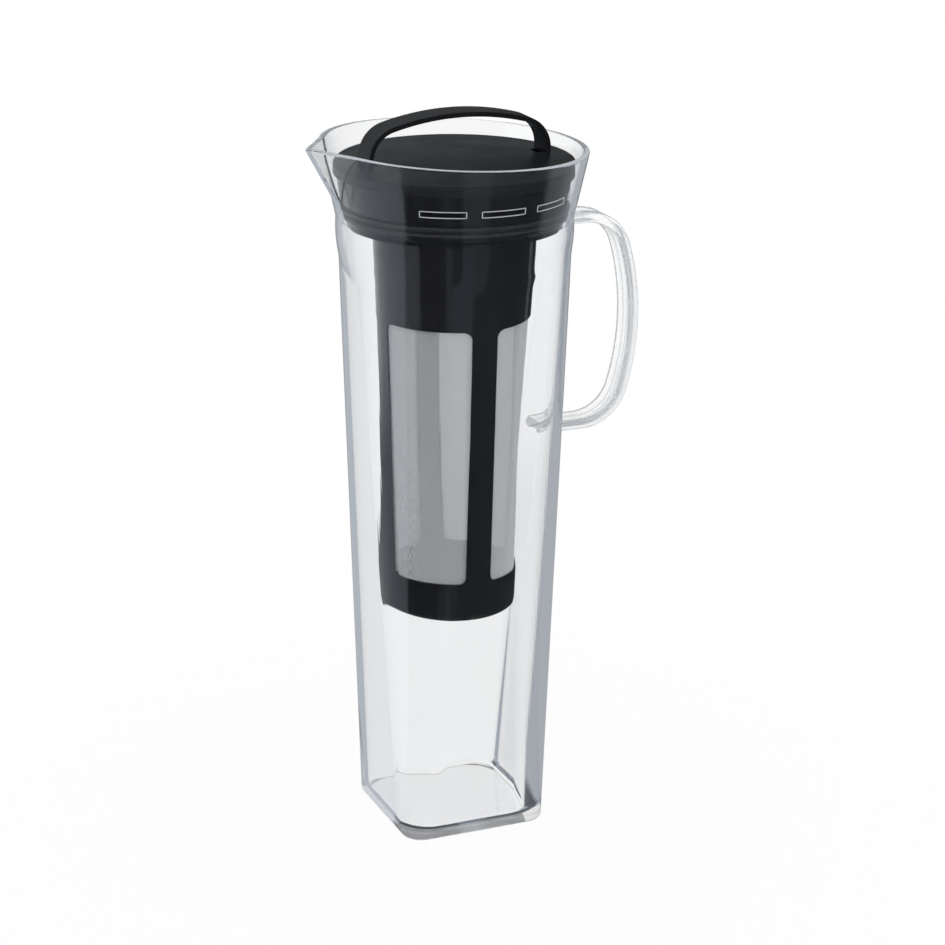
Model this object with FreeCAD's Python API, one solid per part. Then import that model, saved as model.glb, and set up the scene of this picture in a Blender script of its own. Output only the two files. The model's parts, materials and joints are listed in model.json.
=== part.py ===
import FreeCAD, Part
import math
import os
from FreeCAD import Vector

# Cold brew coffee maker: clear pitcher with a beak spout and a strap handle,
# a black strainer lid with a carrying arch, and a removable filter basket under the lid.
# Millimetres.  +Z is up, the table is z = 0, the pitcher's axis is x = y = 0.
# The spout points to -X and the pitcher's handle to +X.

# ---------------------------------------------------------------- driving dimensions

# Pitcher
RIM_HEIGHT = 279.3          # rim above the table, on the axis
RIM_TILT = 2.4              # degrees; the rim rises towards the spout
NECK_RADIUS = 46.3          # outside of the neck, where the flare starts
FLARE_HEIGHT = 28.0         # neck to rim
FLARE_OUT = 6.1             # the rim's radius over the neck's
WALL = 2.3
FLOOR = 3.4
BASE_SIDE = 61.0            # flat to flat, at the table
BASE_CORNER = 8.5
NECK_FLAT_INSET = 1.85      # the flats, carried up to the neck, stand this far inside its radius
NECK_FLAT_HALF = 4.65       # half the straight length of a flat at the neck
BASE_EDGE = 2.0             # rounding under the outside edge
FLOOR_EDGE = 3.5            # rounding where the inside walls meet the floor
CORNER_FILLING = 6.0        # the inside corners are rounder than the outside ones by this at the table
LIP_EDGE = 0.7              # rounding of the rim
SHOULDER_DROP = 23.0        # the round shoulder fades into the flats this far under the neck
SHOULDER_END_INSET = 0.2    # and ends this far inside them
SHOULDER_BULGE = 1.3        # how far the shoulder's middle stands out of its chord

# Spout
SPOUT_BEYOND_RIM = 8.0      # outer tip past the rim's radius, at the rim
SPOUT_SLOPE = 28.8          # degrees from vertical of the keel
SPOUT_TIP_RADIUS = 1.2
SPOUT_TIP_INNER_RADIUS = 1.0
RIM_SPARE = 0.6             # the collar is made this much too tall, then cut to the rim

# Pitcher handle
GRIP_DROP = 32.9            # rim to the middle of the upper limb
GRIP_SPAN = 85.3            # upper limb to lower limb, middle to middle
GRIP_BEYOND_NECK = 29.7     # neck's radius to the middle of the strap at its furthest
GRIP_BOW = 103.0            # radius of the long side
GRIP_CORNER = 18.0
GRIP_THICK = 4.4
GRIP_WIDTH = 12.6
GRIP_EDGE = 1.4
GRIP_CHANNEL_WIDTH = 5.6
GRIP_CHANNEL_DEPTH = 0.9

# Lid
DISC_ABOVE_NECK = 17.7      # neck to the underside of the disc
DISC_EDGE_HEIGHT = 4.0
DISC_DOME = 1.6
DISC_THICK = 2.4            # under the dome
DISC_GAP = 1.2              # disc to the inside of the flare
DISC_EDGE = 0.8
SKIRT_INSET = 1.2           # disc edge to the top of the skirt
SKIRT_TAPER = 1.6           # the skirt narrows by this much down to the seal
SKIRT_WALL = 1.8
SLOT_COUNT = 9
SLOT_PITCH = 30.0           # degrees
SLOT_ARC = 23.0             # degrees
SLOT_TURN = 1.5             # degrees; the row of slots is this far round from the arch
SLOT_TALL = 2.7
SLOT_ABOVE_NECK = 10.6      # neck to the middle of a slot
PLUG_BELOW_NECK = 2.8
PLUG_GAP = 1.95             # plug to the inside of the neck
PLUG_LIP = 0.7              # ridge that the seal stands on
PLUG_LIP_TALL = 1.2
WEB_THICK = 2.0
WEB_HOLE_COUNT = 8
WEB_HOLE_ARC = 33.0         # degrees
WEB_HOLE_MARGIN = 1.4
SOCKET_WALL = 1.7
SOCKET_TALL = 15.0

# Seal round the plug
SEAL_LOW = 1.9              # above the neck
SEAL_TALL = 3.8
SEAL_GAP = 0.25             # lips to the inside of the flare
SEAL_RUN = 0.06             # seal to its groove, radial and axial
SEAL_FIN = 1.1              # height of one lip
SEAL_WEB_DEPTH = 1.2        # the hollow between the two lips

# Carrying arch on the lid
ARCH_INSET = 8.8            # disc edge to the outside of a leg
ARCH_ABOVE_DISC = 19.3      # edge of the disc to the top of the arch
ARCH_TOP_RADIUS = 105.0
ARCH_SHOULDER_RADIUS = 13.0
ARCH_THICK = 1.9
ARCH_WIDTH = 12.5
ARCH_EDGE = 0.5
TANG_WIDTH = 7.0
TANG_GAP = 0.1              # tang to its slot in the disc
TANG_DEPTH = 6.0            # below the disc's edge top
TANG_HOOK = 0.9
TANG_ROOT = 1.0             # the tang reaches this far up into the leg
POCKET_LONG = 3.2           # moulding pocket inside each leg
POCKET_WIDE = 6.4
POCKET_DEEP = 0.9

# Filter basket
SLEEVE_INSET = 9.8          # plug's radius to the sleeve's, at the top
FILTER_LONG = 157.6         # sleeve top to the bottom of the cap
FILTER_TAPER = 0.0427       # radius lost for each millimetre down
FILTER_WALL = 1.6
SLEEVE_GAP = 0.25           # sleeve top to the underside of the plug
SPIGOT_STEP = 1.8           # sleeve to spigot, radial
SPIGOT_TALL = 12.5
SPIGOT_RUN = 0.05           # spigot to socket, radial
WINDOW_TOP_DROP = 35.9      # sleeve top to window top
WINDOW_BOTTOM_RISE = 16.8   # cap bottom to window bottom
WINDOW_CORNER = 3.0
WINDOW_COUNT = 4
RIB_WIDTH = 10.6
MESH_THICK = 0.4
MESH_INSET = 0.6            # frame's outside to the mesh's outside
RING_THICK = 1.1            # sealing rings let into the spigots
RING_TALL = 2.0
RING_PROUD = 0.015          # ring's outside past its spigot

# Cap under the basket
CAP_TALL = 15.4
CAP_LIP = 0.3               # cap's top edge stands out of the frame
CAP_FLOOR = 2.0
CAP_EDGE = 4.2
CAP_SPIGOT_STEP = 1.2
CAP_SPIGOT_TALL = 10.0
CAP_RUN = 0.05
CAP_INNER_WALL = 1.9

# ---------------------------------------------------------------- places worked out from them

OVERCUT = 4.0               # cutters run this far past what they cut
NEAR = 0.01                 # two places closer than this are the same

NECK = RIM_HEIGHT - FLARE_HEIGHT
RIM_RADIUS = NECK_RADIUS + FLARE_OUT
FLARE_SLOPE = FLARE_OUT / FLARE_HEIGHT
FLARE_WALL = WALL / math.cos(math.atan(FLARE_SLOPE))
SPOUT_REACH = RIM_RADIUS + SPOUT_BEYOND_RIM
NECK_HALF_SIDE = NECK_RADIUS - NECK_FLAT_INSET
GRIP_REACH = NECK_RADIUS + GRIP_BEYOND_NECK
PLUG_RADIUS = NECK_RADIUS - FLARE_WALL - PLUG_GAP
SLEEVE_TOP_RADIUS = PLUG_RADIUS - SLEEVE_INSET

DISC_LOW = NECK + DISC_ABOVE_NECK
DISC_TOP = DISC_LOW + DISC_EDGE_HEIGHT
SEAL_BOTTOM = NECK + SEAL_LOW
SEAL_TOP = SEAL_BOTTOM + SEAL_TALL
PLUG_LOW = NECK - PLUG_BELOW_NECK
SLEEVE_TOP = PLUG_LOW - SLEEVE_GAP
CAP_LOW = SLEEVE_TOP - FILTER_LONG
CAP_TOP = CAP_LOW + CAP_TALL
SPIGOT_RADIUS = SLEEVE_TOP_RADIUS - SPIGOT_STEP
SPIGOT_TOP = SLEEVE_TOP + SPIGOT_TALL
SOCKET_RADIUS = SPIGOT_RADIUS + SPIGOT_RUN


def taper_half_side(z):
    """Half the pitcher's outside width, flat to flat, at a height."""
    return BASE_SIDE / 2 + (NECK_HALF_SIDE - BASE_SIDE / 2) * z / NECK


def flare_outer(z):
    return NECK_RADIUS + FLARE_SLOPE * (z - NECK)


def flare_inner(z):
    return flare_outer(z) - FLARE_WALL


DISC_RADIUS = flare_inner(DISC_LOW) - DISC_GAP
SKIRT_TOP_RADIUS = DISC_RADIUS - SKIRT_INSET
SKIRT_LOW_RADIUS = SKIRT_TOP_RADIUS - SKIRT_TAPER
ARCH_HALF_SPAN = DISC_RADIUS - ARCH_INSET


def filter_outer(z):
    return SLEEVE_TOP_RADIUS - FILTER_TAPER * (SLEEVE_TOP - z)


CAP_SPIGOT_RADIUS = filter_outer(CAP_TOP) - CAP_SPIGOT_STEP
CAP_BORE = CAP_SPIGOT_RADIUS + CAP_RUN
CAP_SPIGOT_LOW = CAP_TOP - CAP_SPIGOT_TALL
CAP_FOOT_RADIUS = filter_outer(CAP_LOW)
RING_MIDDLE = (SLEEVE_TOP + SPIGOT_TOP) / 2
CAP_RING_MIDDLE = (CAP_TOP + CAP_SPIGOT_LOW) / 2

# ---------------------------------------------------------------- shape helpers


def polar(radius, degrees, z=0.0):
    angle = math.radians(degrees)
    return Vector(radius * math.cos(angle), radius * math.sin(angle), z)


def turned(profile):
    """Solid of revolution about Z from (radius, z) corners."""
    corners = [Vector(radius, 0, z) for radius, z in profile]
    face = Part.Face(Part.makePolygon(corners + [corners[0]]))
    return face.revolve(Vector(0, 0, 0), Vector(0, 0, 1), 360)


def turned_edges(edges):
    """Solid of revolution about Z from edges that close in the XZ plane."""
    wire = Part.Wire(Part.__sortEdges__(edges))
    return Part.Face(wire).revolve(Vector(0, 0, 0), Vector(0, 0, 1), 360)


def tube(outer, inner, low, high):
    return turned([(inner, low), (outer, low), (outer, high), (inner, high)])


def rounded_square(half, corner, z):
    """Wire of a square with round corners, centred on the axis."""
    straight = half - corner
    diagonal = straight + corner * math.sqrt(0.5)
    edges = []
    for turn in range(4):
        start = Vector(half, -straight, z)
        end = Vector(half, straight, z)
        middle = Vector(diagonal, diagonal, z)
        after = Vector(straight, half, z)
        side_edge = Part.LineSegment(start, end).toShape()
        corner_edge = Part.Arc(end, middle, after).toShape()
        for edge in (side_edge, corner_edge):
            edge.rotate(Vector(0, 0, 0), Vector(0, 0, 1), 90 * turn)
            edges.append(edge)
    return Part.Wire(edges)


def square_taper(low, high, inset, filling=0):
    """Tapered square solid between two heights, inset from the pitcher's outside. Its corners are rounder by the
    filling at the table, which fades out at the neck."""
    neck_corner = NECK_HALF_SIDE - NECK_FLAT_HALF
    wires = []
    for z in (low, high):
        corner = BASE_CORNER + (neck_corner - BASE_CORNER) * z / NECK
        corner += filling * (1 - z / NECK) - inset
        wires.append(rounded_square(taper_half_side(z) - inset, corner, z))
    return Part.makeLoft(wires, True, True)


def chosen_edges(shape, test):
    return [edge for edge in shape.Edges if test(edge)]


# ---------------------------------------------------------------- pitcher


def shoulder(inset):
    """Round shoulder under the neck, as a solid that reaches down inside the taper."""
    low = NECK - SHOULDER_DROP
    top = Vector(NECK_RADIUS - inset, 0, NECK)
    end = Vector(taper_half_side(low) - SHOULDER_END_INSET - inset, 0, low)
    middle = (top + end) * 0.5 + Vector(SHOULDER_BULGE, 0, 0)
    axis_low = Vector(0, 0, end.z)
    axis_top = Vector(0, 0, NECK)
    return turned_edges([
        Part.Arc(top, middle, end).toShape(),
        Part.LineSegment(end, axis_low).toShape(),
        Part.LineSegment(axis_low, axis_top).toShape(),
        Part.LineSegment(axis_top, top).toShape(),
    ])


def flare(inset, nose):
    """Flared collar from the neck to just above the rim, with its V-shaped beak."""
    high = RIM_HEIGHT + SPOUT_REACH * math.tan(math.radians(RIM_TILT)) + RIM_SPARE
    cone = turned([(0, NECK), (NECK_RADIUS - inset, NECK), (flare_outer(high) - inset, high), (0, high)])
    keel_run = math.tan(math.radians(SPOUT_SLOPE))
    tangent_height = high + RIM_SPARE
    half_angle = math.asin(flare_outer(tangent_height) / spout_tip(tangent_height))
    tip = spout_tip(NECK) - inset / math.sin(half_angle)
    side = spout_tip(high) * math.cos(half_angle)
    back = -tip + side * math.cos(half_angle)
    wide = side * math.sin(half_angle)
    corners = [Vector(-tip, 0, NECK), Vector(back, -wide, NECK), Vector(back, wide, NECK)]
    rise = high - NECK
    beak = Part.Face(Part.makePolygon(corners + [corners[0]])).extrude(Vector(-keel_run * rise, 0, rise))
    keel = chosen_edges(beak, lambda edge: edge.BoundBox.YLength < NEAR and edge.BoundBox.ZLength > 1)
    beak = beak.makeFillet(nose, keel)
    return cone.fuse(beak)


def spout_tip(z):
    """Distance from the axis to the beak's outer keel at a height."""
    return SPOUT_REACH - math.tan(math.radians(SPOUT_SLOPE)) * (RIM_HEIGHT - z)


def above_rim():
    """Block above the tilted plane of the rim."""
    size = 4 * RIM_RADIUS
    block = Part.makeBox(size, size, size, Vector(-size / 2, -size / 2, 0))
    block.rotate(Vector(0, 0, 0), Vector(0, 1, 0), RIM_TILT)
    block.translate(Vector(0, 0, RIM_HEIGHT))
    return block


def pitcher_outside():
    taper = square_taper(0, NECK, 0)
    under = chosen_edges(taper, lambda edge: edge.BoundBox.ZMax < NEAR)
    taper = taper.makeFillet(BASE_EDGE, under)
    upper = shoulder(0).fuse(flare(0, SPOUT_TIP_RADIUS))
    return taper.fuse(upper).removeSplitter()


def pitcher_inside():
    taper = square_taper(FLOOR, NECK, WALL, CORNER_FILLING)
    floor_edges = chosen_edges(taper, lambda edge: edge.BoundBox.ZMax < FLOOR + NEAR)
    taper = taper.makeFillet(FLOOR_EDGE, floor_edges)
    upper = shoulder(FLARE_WALL).fuse(flare(FLARE_WALL, SPOUT_TIP_INNER_RADIUS))
    return taper.fuse(upper).removeSplitter()


def pitcher_body(outside):
    body = outside.cut(pitcher_inside()).cut(above_rim())
    lip = chosen_edges(body, on_rim_plane)
    return body.makeFillet(LIP_EDGE, lip)


def on_rim_plane(edge):
    """True for an edge that lies in the tilted plane of the rim."""
    fall = math.tan(math.radians(RIM_TILT))
    points = edge.discretize(5)
    return all(abs(point.z - (RIM_HEIGHT - fall * point.x)) < NEAR for point in points)


# ---------------------------------------------------------------- pitcher handle


def grip_outline(offset):
    """Closed outline of the handle's side view, offset outwards from the strap's middle line."""
    middle = RIM_HEIGHT - GRIP_DROP - GRIP_SPAN / 2
    bow = GRIP_BOW + offset
    corner = GRIP_CORNER + offset
    bow_centre = Vector(GRIP_REACH - GRIP_BOW, 0, middle)
    rise = GRIP_SPAN / 2 - GRIP_CORNER
    run = math.sqrt((GRIP_BOW - GRIP_CORNER) ** 2 - rise ** 2)
    top_centre = bow_centre + Vector(run, 0, rise)
    low_centre = bow_centre + Vector(run, 0, -rise)
    share = bow / (GRIP_BOW - GRIP_CORNER)
    top_join = bow_centre + Vector(run * share, 0, rise * share)
    low_join = bow_centre + Vector(run * share, 0, -rise * share)
    top_start = top_centre + Vector(0, 0, corner)
    low_start = low_centre + Vector(0, 0, -corner)
    half_turn = (math.pi / 2 - math.asin(rise / (GRIP_BOW - GRIP_CORNER))) / 2
    lean = math.pi / 2 - half_turn
    top_mid = top_centre + Vector(corner * math.cos(lean), 0, corner * math.sin(lean))
    low_mid = low_centre + Vector(corner * math.cos(lean), 0, -corner * math.sin(lean))
    inboard_top = Vector(0, 0, top_start.z)
    inboard_low = Vector(0, 0, low_start.z)
    edges = [
        Part.LineSegment(inboard_top, top_start).toShape(),
        Part.Arc(top_start, top_mid, top_join).toShape(),
        Part.Arc(top_join, bow_centre + Vector(bow, 0, 0), low_join).toShape(),
        Part.Arc(low_join, low_mid, low_start).toShape(),
        Part.LineSegment(low_start, inboard_low).toShape(),
        Part.LineSegment(inboard_low, inboard_top).toShape(),
    ]
    return Part.Wire(edges)


def band(outer_wire, inner_wire, width):
    """Strap of the given width along Y between two outlines in the XZ plane."""
    outer = Part.Face(outer_wire).extrude(Vector(0, width, 0))
    inner = Part.Face(inner_wire).extrude(Vector(0, width, 0))
    strap = outer.cut(inner)
    strap.translate(Vector(0, -width / 2, 0))
    return strap


def pitcher_handle(outside):
    half = GRIP_THICK / 2
    strap = band(grip_outline(half), grip_outline(-half), GRIP_WIDTH)
    side = GRIP_WIDTH / 2
    long_edges = chosen_edges(strap, lambda edge: on_both_sides(edge, side) and edge.BoundBox.XMax > 1)
    strap = strap.makeFillet(GRIP_EDGE, long_edges)
    channel = band(grip_outline(half + OVERCUT), grip_outline(half - GRIP_CHANNEL_DEPTH), GRIP_CHANNEL_WIDTH)
    return strap.cut(channel).cut(outside)


def on_both_sides(edge, side):
    """True for an edge that lies in one of the two flat sides at y = +-side."""
    box = edge.BoundBox
    return box.YLength < NEAR and abs(abs(box.YMin) - side) < NEAR


# ---------------------------------------------------------------- lid


def dome_height(radius):
    """Height of the disc's top at a radius."""
    ball = (DISC_RADIUS ** 2 + DISC_DOME ** 2) / (2 * DISC_DOME)
    return DISC_TOP + DISC_DOME - ball + math.sqrt(ball ** 2 - radius ** 2)


def disc_profile(drop, low):
    """Half section of the domed disc, its top lowered by drop, closed at height low."""
    rim = Vector(DISC_RADIUS, 0, DISC_TOP - drop)
    half_way = Vector(DISC_RADIUS / 2, 0, dome_height(DISC_RADIUS / 2) - drop)
    crown = Vector(0, 0, dome_height(0) - drop)
    axis_low = Vector(0, 0, low)
    edge_low = Vector(DISC_RADIUS, 0, low)
    return [
        Part.Arc(rim, half_way, crown).toShape(),
        Part.LineSegment(crown, axis_low).toShape(),
        Part.LineSegment(axis_low, edge_low).toShape(),
        Part.LineSegment(edge_low, rim).toShape(),
    ]


def tang_box(gap, low, high, outer):
    """Block in the plane of a leg on the +X side, grown by gap all round."""
    left = ARCH_HALF_SPAN - ARCH_THICK - gap
    width = TANG_WIDTH + 2 * gap
    return Part.makeBox(outer + gap - left, width, high - low, Vector(left, -width / 2, low))


def mirrored_pair(shape):
    other = shape.copy()
    other.rotate(Vector(0, 0, 0), Vector(0, 0, 1), 180)
    return [shape, other]


def lid_disc():
    disc = turned_edges(disc_profile(0, DISC_LOW))
    top_edge = chosen_edges(disc, lambda edge: abs(edge.BoundBox.ZMin - DISC_TOP) < NEAR
                            and edge.BoundBox.XLength > DISC_RADIUS)
    disc = disc.makeFillet(DISC_EDGE, top_edge)
    hollow = turned_edges(disc_profile(DISC_THICK, DISC_LOW - OVERCUT))
    room = tube(SKIRT_TOP_RADIUS - SKIRT_WALL, 0, DISC_LOW - 2 * OVERCUT, DISC_TOP + DISC_DOME)
    disc = disc.cut(hollow.common(room))
    for slot in mirrored_pair(tang_box(TANG_GAP, DISC_LOW - OVERCUT, DISC_TOP + OVERCUT, ARCH_HALF_SPAN)):
        disc = disc.cut(slot)
    pocket_top = dome_height(ARCH_HALF_SPAN)
    pocket = Part.makeBox(POCKET_LONG, POCKET_WIDE, 2 * OVERCUT,
                          Vector(ARCH_HALF_SPAN - ARCH_THICK - TANG_GAP - POCKET_LONG, -POCKET_WIDE / 2,
                                 pocket_top - POCKET_DEEP))
    for cutter in mirrored_pair(pocket):
        disc = disc.cut(cutter)
    return disc


def arch_outline(inset):
    """Closed outline of the carrying arch's side view, drawn in by inset."""
    crown = DISC_TOP + ARCH_ABOVE_DISC
    top = ARCH_TOP_RADIUS
    bend = ARCH_SHOULDER_RADIUS
    centre_z = crown - top
    bend_x = ARCH_HALF_SPAN - bend
    bend_z = centre_z + math.sqrt((top - bend) ** 2 - bend_x ** 2)
    share = (top - inset) / (top - bend)
    join = Vector(bend_x * share, 0, centre_z + (bend_z - centre_z) * share)
    lean = math.atan2(bend_z - centre_z, bend_x) / 2
    radius = bend - inset
    bend_mid = Vector(bend_x + radius * math.cos(lean), 0, bend_z + radius * math.sin(lean))
    leg = Vector(ARCH_HALF_SPAN - inset, 0, bend_z)
    foot = Vector(ARCH_HALF_SPAN - inset, 0, DISC_LOW - OVERCUT)

    def other(point):
        return Vector(-point.x, 0, point.z)

    edges = [
        Part.LineSegment(foot, leg).toShape(),
        Part.Arc(leg, bend_mid, join).toShape(),
        Part.Arc(join, Vector(0, 0, crown - inset), other(join)).toShape(),
        Part.Arc(other(join), other(bend_mid), other(leg)).toShape(),
        Part.LineSegment(other(leg), other(foot)).toShape(),
        Part.LineSegment(other(foot), foot).toShape(),
    ]
    return Part.Wire(edges)


def lid_handle():
    strap = band(arch_outline(0), arch_outline(ARCH_THICK), ARCH_WIDTH)
    side = ARCH_WIDTH / 2
    long_edges = chosen_edges(strap, lambda edge: on_both_sides(edge, side)
                              and edge.Length > ARCH_THICK + NEAR)
    strap = strap.makeFillet(ARCH_EDGE, long_edges)
    strap = strap.cut(turned_edges(disc_profile(0, DISC_LOW - 2 * OVERCUT)))
    tang_low = DISC_TOP - TANG_DEPTH
    left = ARCH_HALF_SPAN - ARCH_THICK
    for tang in mirrored_pair(tang_box(0, tang_low, dome_height(left) + TANG_ROOT, ARCH_HALF_SPAN)):
        strap = strap.fuse(tang)
    hook_top = dome_height(left) - DISC_THICK - TANG_GAP
    hook_face = Part.Face(Part.makePolygon([
        Vector(left, -TANG_WIDTH / 2, tang_low),
        Vector(left, -TANG_WIDTH / 2, hook_top),
        Vector(left - TANG_HOOK, -TANG_WIDTH / 2, hook_top),
        Vector(left, -TANG_WIDTH / 2, tang_low),
    ]))
    for hook in mirrored_pair(hook_face.extrude(Vector(0, TANG_WIDTH, 0))):
        strap = strap.fuse(hook)
    return strap.removeSplitter()


def arc_block(inner, outer, centre_angle, arc, low, high):
    """Sector of a ring, for slots and holes that follow the plug round."""
    start = centre_angle - arc / 2
    ring = Part.Face(Part.makePolygon([
        Vector(inner, 0, low), Vector(outer, 0, low), Vector(outer, 0, high), Vector(inner, 0, high),
        Vector(inner, 0, low)]))
    block = ring.revolve(Vector(0, 0, 0), Vector(0, 0, 1), arc)
    block.rotate(Vector(0, 0, 0), Vector(0, 0, 1), start)
    return block


def lid_plug():
    groove = PLUG_RADIUS - SEAL_RUN
    inner_top = SKIRT_TOP_RADIUS - SKIRT_WALL
    inner_low = PLUG_RADIUS - SKIRT_WALL
    groove_low = SEAL_BOTTOM - SEAL_RUN
    groove_top = SEAL_TOP + SEAL_RUN
    lip = PLUG_RADIUS + PLUG_LIP
    web_top = PLUG_LOW + WEB_THICK
    body = turned([
        (SOCKET_RADIUS, PLUG_LOW), (PLUG_RADIUS, PLUG_LOW),
        (lip, groove_low - PLUG_LIP_TALL), (lip, groove_low),
        (groove, groove_low), (groove, groove_top), (SKIRT_LOW_RADIUS, groove_top),
        (SKIRT_TOP_RADIUS, DISC_LOW), (inner_top, DISC_LOW), (inner_low, groove_top + SKIRT_WALL),
        (inner_low, web_top), (SOCKET_RADIUS, web_top),
    ])
    socket = tube(SOCKET_RADIUS + SOCKET_WALL, SOCKET_RADIUS, PLUG_LOW, PLUG_LOW + SOCKET_TALL)
    body = body.fuse(socket)
    slot_middle = NECK + SLOT_ABOVE_NECK
    first = SLOT_TURN + 180 - SLOT_PITCH * (SLOT_COUNT - 1) / 2
    for index in range(SLOT_COUNT):
        angle = 180 + first + SLOT_PITCH * index
        body = body.cut(arc_block(inner_low - OVERCUT, DISC_RADIUS, angle, SLOT_ARC,
                                  slot_middle - SLOT_TALL / 2, slot_middle + SLOT_TALL / 2))
    hole_inner = SOCKET_RADIUS + SOCKET_WALL + WEB_HOLE_MARGIN
    hole_outer = inner_low - WEB_HOLE_MARGIN
    for index in range(WEB_HOLE_COUNT):
        body = body.cut(arc_block(hole_inner, hole_outer, 360 / WEB_HOLE_COUNT * index, WEB_HOLE_ARC,
                                  PLUG_LOW - OVERCUT, web_top + OVERCUT))
    return body.removeSplitter()


def neck_seal():
    """Rubber ring with two lips that follow the flare."""
    top_lip = flare_inner(SEAL_TOP) - SEAL_GAP
    low_lip = flare_inner(SEAL_BOTTOM) - SEAL_GAP
    mid_top = SEAL_TOP - SEAL_FIN
    mid_low = SEAL_BOTTOM + SEAL_FIN
    hollow = low_lip - SEAL_WEB_DEPTH
    return turned([
        (PLUG_RADIUS, SEAL_BOTTOM), (low_lip, SEAL_BOTTOM), (flare_inner(mid_low) - SEAL_GAP, mid_low),
        (hollow, mid_low), (hollow, mid_top), (flare_inner(mid_top) - SEAL_GAP, mid_top),
        (top_lip, SEAL_TOP), (PLUG_RADIUS, SEAL_TOP),
    ])


# ---------------------------------------------------------------- filter basket


def window_cutter(index):
    """Tapered window with round corners, cut straight in from outside between two ribs."""
    low = CAP_LOW + WINDOW_BOTTOM_RISE
    high = SLEEVE_TOP - WINDOW_TOP_DROP
    step = 360 / WINDOW_COUNT

    def half_width(z):
        radius = filter_outer(z)
        rib_half_angle = math.asin(RIB_WIDTH / 2 / radius)
        return radius * math.sin(math.radians(step / 2) - rib_half_angle)

    corners = [
        Vector(0, -half_width(low), low), Vector(0, half_width(low), low),
        Vector(0, half_width(high), high), Vector(0, -half_width(high), high),
    ]
    block = Part.Face(Part.makePolygon(corners + [corners[0]])).extrude(Vector(2 * SLEEVE_TOP_RADIUS, 0, 0))
    along = chosen_edges(block, lambda edge: edge.BoundBox.XLength > SLEEVE_TOP_RADIUS)
    block = block.makeFillet(WINDOW_CORNER, along)
    block.rotate(Vector(0, 0, 0), Vector(0, 0, 1), step * (index + 0.5))
    return block


def filter_frame():
    spigot_inner = SPIGOT_RADIUS - FILTER_WALL
    cap_spigot_inner = CAP_SPIGOT_RADIUS - FILTER_WALL
    sleeve_step = SLEEVE_TOP - 2 * FILTER_WALL
    cap_step = CAP_TOP + FILTER_WALL
    body = turned([
        (cap_spigot_inner, CAP_SPIGOT_LOW), (CAP_SPIGOT_RADIUS, CAP_SPIGOT_LOW),
        (CAP_SPIGOT_RADIUS, CAP_TOP + CAP_RUN), (filter_outer(CAP_TOP + CAP_RUN), CAP_TOP + CAP_RUN),
        (filter_outer(SLEEVE_TOP), SLEEVE_TOP), (SPIGOT_RADIUS, SLEEVE_TOP), (SPIGOT_RADIUS, SPIGOT_TOP),
        (spigot_inner, SPIGOT_TOP), (spigot_inner, SLEEVE_TOP - FILTER_WALL),
        (filter_outer(sleeve_step) - FILTER_WALL, sleeve_step),
        (filter_outer(cap_step) - FILTER_WALL, cap_step), (cap_spigot_inner, CAP_TOP - FILTER_WALL),
    ])
    body = body.cut(spigot_ring(SPIGOT_RADIUS, OVERCUT, RING_MIDDLE))
    body = body.cut(spigot_ring(CAP_SPIGOT_RADIUS, OVERCUT, CAP_RING_MIDDLE))
    for index in range(WINDOW_COUNT):
        body = body.cut(window_cutter(index))
    return body


def spigot_ring(spigot, beyond, middle):
    """Ring let into a spigot, out to a little or far beyond it."""
    return tube(spigot + beyond, spigot - RING_THICK, middle - RING_TALL / 2, middle + RING_TALL / 2)


def mesh_panel(index):
    """Fine mesh that fills one window, thin and curved as the frame is."""
    low = CAP_LOW
    high = SLEEVE_TOP
    shell = turned([
        (filter_outer(low) - MESH_INSET - MESH_THICK, low), (filter_outer(low) - MESH_INSET, low),
        (filter_outer(high) - MESH_INSET, high), (filter_outer(high) - MESH_INSET - MESH_THICK, high),
    ])
    return shell.common(window_cutter(index))


def filter_cap():
    top_outer = filter_outer(CAP_TOP) + CAP_LIP
    floor_top = CAP_LOW + CAP_FLOOR
    step_low = CAP_SPIGOT_LOW - CAP_RUN
    inner = CAP_FOOT_RADIUS - CAP_INNER_WALL
    body = turned([
        (0, CAP_LOW), (CAP_FOOT_RADIUS, CAP_LOW), (top_outer, CAP_TOP), (CAP_BORE, CAP_TOP),
        (CAP_BORE, step_low), (inner, step_low), (inner, floor_top), (0, floor_top),
    ])
    foot = chosen_edges(body, lambda edge: edge.BoundBox.ZMax < CAP_LOW + NEAR and edge.BoundBox.XLength > 1)
    return body.makeFillet(CAP_EDGE, foot)


# ---------------------------------------------------------------- write the pieces


def pieces():
    outside = pitcher_outside()
    made = {
        "pitcher_body": pitcher_body(outside),
        "pitcher_handle": pitcher_handle(outside),
        "neck_seal": neck_seal(),
        "lid_disc": lid_disc(),
        "lid_plug": lid_plug(),
        "lid_handle": lid_handle(),
        "filter_frame": filter_frame(),
        "filter_ring": spigot_ring(SPIGOT_RADIUS, RING_PROUD, RING_MIDDLE),
        "cap_ring": spigot_ring(CAP_SPIGOT_RADIUS, RING_PROUD, CAP_RING_MIDDLE),
        "filter_cap": filter_cap(),
    }
    for index, corner in enumerate(("back_right", "back_left", "front_left", "front_right")):
        made["mesh_" + corner] = mesh_panel(index)
    return made


def main():
    os.makedirs("parts", exist_ok=True)
    for name, shape in pieces().items():
        box = shape.BoundBox
        print(name, shape.isValid(), len(shape.Solids), round(shape.Volume),
              [round(v, 1) for v in (box.XMin, box.YMin, box.ZMin, box.XMax, box.YMax, box.ZMax)])
        shape.exportStep(os.path.join("parts", name + ".step"))


main()
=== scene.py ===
import json
import math

import bmesh
import bpy
import numpy as np
from mathutils import Matrix, Vector
from mathutils.bvhtree import BVHTree


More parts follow.
